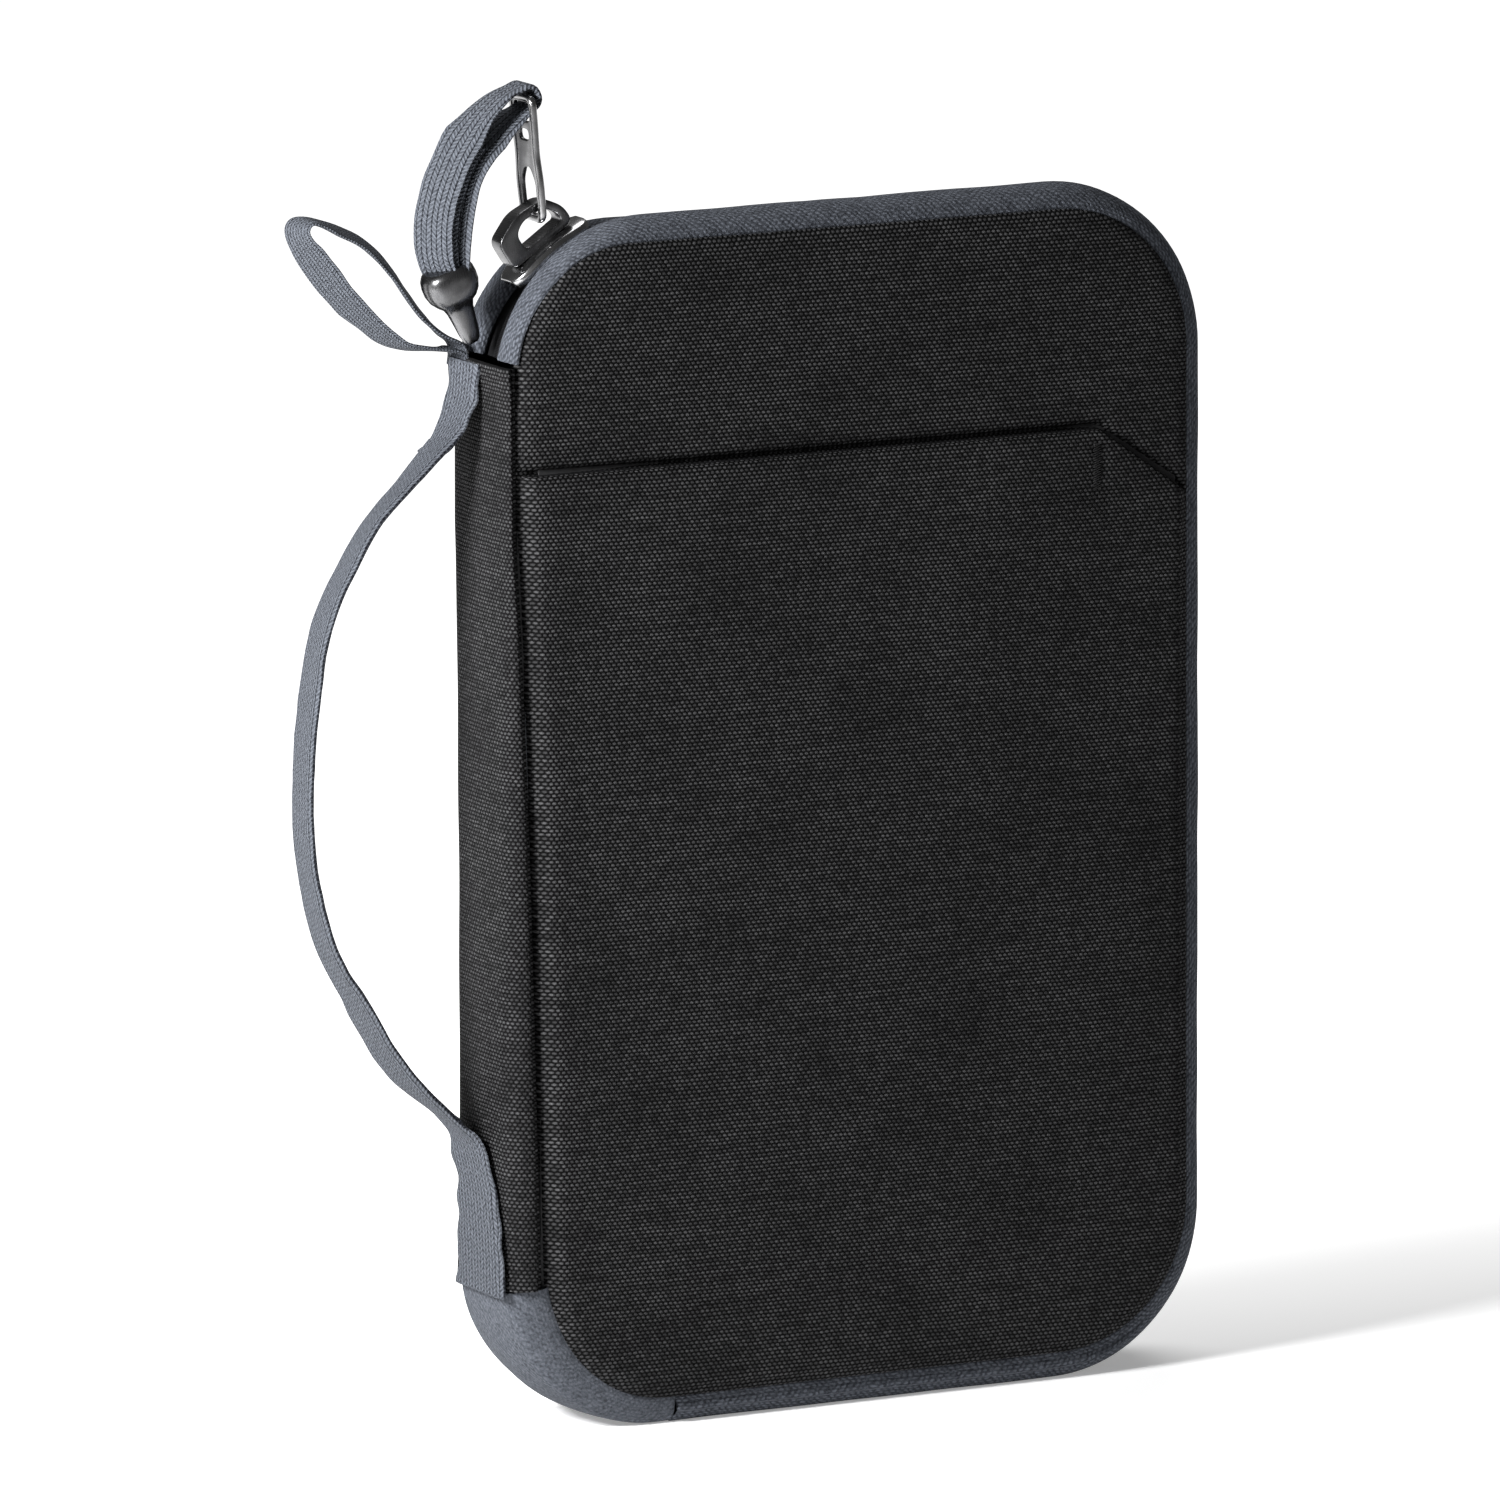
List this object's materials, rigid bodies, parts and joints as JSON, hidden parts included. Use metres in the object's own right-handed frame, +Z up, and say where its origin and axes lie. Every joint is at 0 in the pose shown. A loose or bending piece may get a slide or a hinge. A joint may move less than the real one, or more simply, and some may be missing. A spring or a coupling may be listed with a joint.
{
  "type": "passport holder wallet",
  "caption": "Zip-around fabric travel wallet for a passport and cards, with padded covers, a slip pocket, a webbing carry handle, a hanging loop and a zip pull.",
  "frame": {"origin": "bottom centre of the whole object's box, with the body standing on the bottom of its gusset; the body's own middle is 16.7 mm towards +X because the handle bows out towards -X", "axes": "+Z up the height of the wallet, +X from the spine to the free edge, -Y out of the front cover"},
  "size_m": [0.1734, 0.027, 0.2405],
  "materials": {
    "black_fabric": "matt woven polyester",
    "grey_gusset": "matt heather weave",
    "grey_webbing": "matt ribbed webbing",
    "lining_fabric": "matt plain weave",
    "foam": "matt closed-cell foam",
    "zip_nylon": "satin nylon",
    "gunmetal": "polished gunmetal",
    "thread": "matt thread"
  },
  "bodies": {
    "rear_cover": {"rear_cover_shell": "black_fabric", "rear_foam_board": "foam", "rear_lining": "lining_fabric", "rear_gusset_band": "grey_gusset", "rear_zip_tape": "zip_nylon", "rear_zip_coil": "zip_nylon", "rear_seam_binding": "lining_fabric", "ticket_sleeve": "lining_fabric", "passport_pocket": "lining_fabric", "zip_end_stop": "gunmetal"},
    "spine": {"spine_panel": "black_fabric", "spine_stiffener": "foam", "spine_lining": "lining_fabric", "corner_gusset": "grey_gusset", "handle_lower_anchor": "grey_webbing", "handle_upper_anchor": "grey_webbing"},
    "front_cover": {"front_cover_shell": "black_fabric", "front_slip_pocket": "black_fabric", "pocket_bartack": "thread", "front_foam_board": "foam", "front_lining": "lining_fabric", "front_gusset_band": "grey_gusset", "front_zip_tape": "zip_nylon", "front_zip_coil": "zip_nylon", "front_seam_binding": "lining_fabric", "card_slot_1": "lining_fabric", "card_slot_2": "lining_fabric", "card_slot_3": "lining_fabric", "coin_pocket_panel": "lining_fabric", "coin_zip_tape": "zip_nylon", "coin_zip_coil": "zip_nylon"},
    "zip_slider": {"slider_body": "gunmetal", "slider_crown": "gunmetal"},
    "pull_tab": {"pull_tab": "gunmetal"},
    "zip_pull": {"pull_webbing": "grey_webbing", "pull_end_cap": "gunmetal"},
    "carry_handle": {"carry_handle": "grey_webbing"},
    "attachment_loop": {"attachment_loop": "grey_webbing"},
    "coin_slider": {"coin_slider": "gunmetal"},
    "coin_pull_tab": {"coin_pull_tab": "gunmetal"}
  },
  "joints": [
    {"name": "rear_fold", "type": "hinge", "parent": "rear_cover", "child": "spine", "pos_m": [-0.0533, 0.0135, 0.108], "axis": [0, 0, -1], "range_deg": [0, 90]},
    {"name": "front_fold", "type": "hinge", "parent": "spine", "child": "front_cover", "pos_m": [-0.0533, -0.0135, 0.108], "axis": [0, 0, -1], "range_deg": [0, 90]},
    {"name": "slider_travel", "type": "hinge", "parent": "rear_cover", "child": "zip_slider", "pos_m": [-0.0233, 0, 0.186], "axis": [0, 1, 0], "range_deg": [0, 14]},
    {"name": "tab_swing", "type": "hinge", "parent": "zip_slider", "child": "pull_tab", "pos_m": [-0.04247, 0, 0.21652], "axis": [0, 1, 0], "range_deg": [-6, 65]},
    {"name": "pull_swing", "type": "hinge", "parent": "pull_tab", "child": "zip_pull", "pos_m": [-0.04474, 0, 0.2381], "axis": [0, 1, 0], "range_deg": [-2, 45]},
    {"name": "handle_swing", "type": "hinge", "parent": "spine", "child": "carry_handle", "pos_m": [-0.0577, 0.0042, 0.12], "axis": [0, 0, 1], "range_deg": [-20, 20]},
    {"name": "loop_swing", "type": "hinge", "parent": "spine", "child": "attachment_loop", "pos_m": [-0.0549, 0.008, 0.194], "axis": [0, 1, 0], "range_deg": [-12, 12], "stiffness_Nm_per_rad": 0.002},
    {"name": "coin_slider_travel", "type": "slide", "parent": "front_cover", "child": "coin_slider", "axis": [1, 0, 0], "range_m": [0, 0.089]},
    {"name": "coin_tab_swing", "type": "hinge", "parent": "coin_slider", "child": "coin_pull_tab", "pos_m": [-0.0258, -0.0028, 0.1887], "axis": [1, 0, 0], "range_deg": [0, 50]}
  ],
  "couplings": [
    {"joint": "front_fold", "follows": "rear_fold", "ratio": 1}
  ]
}
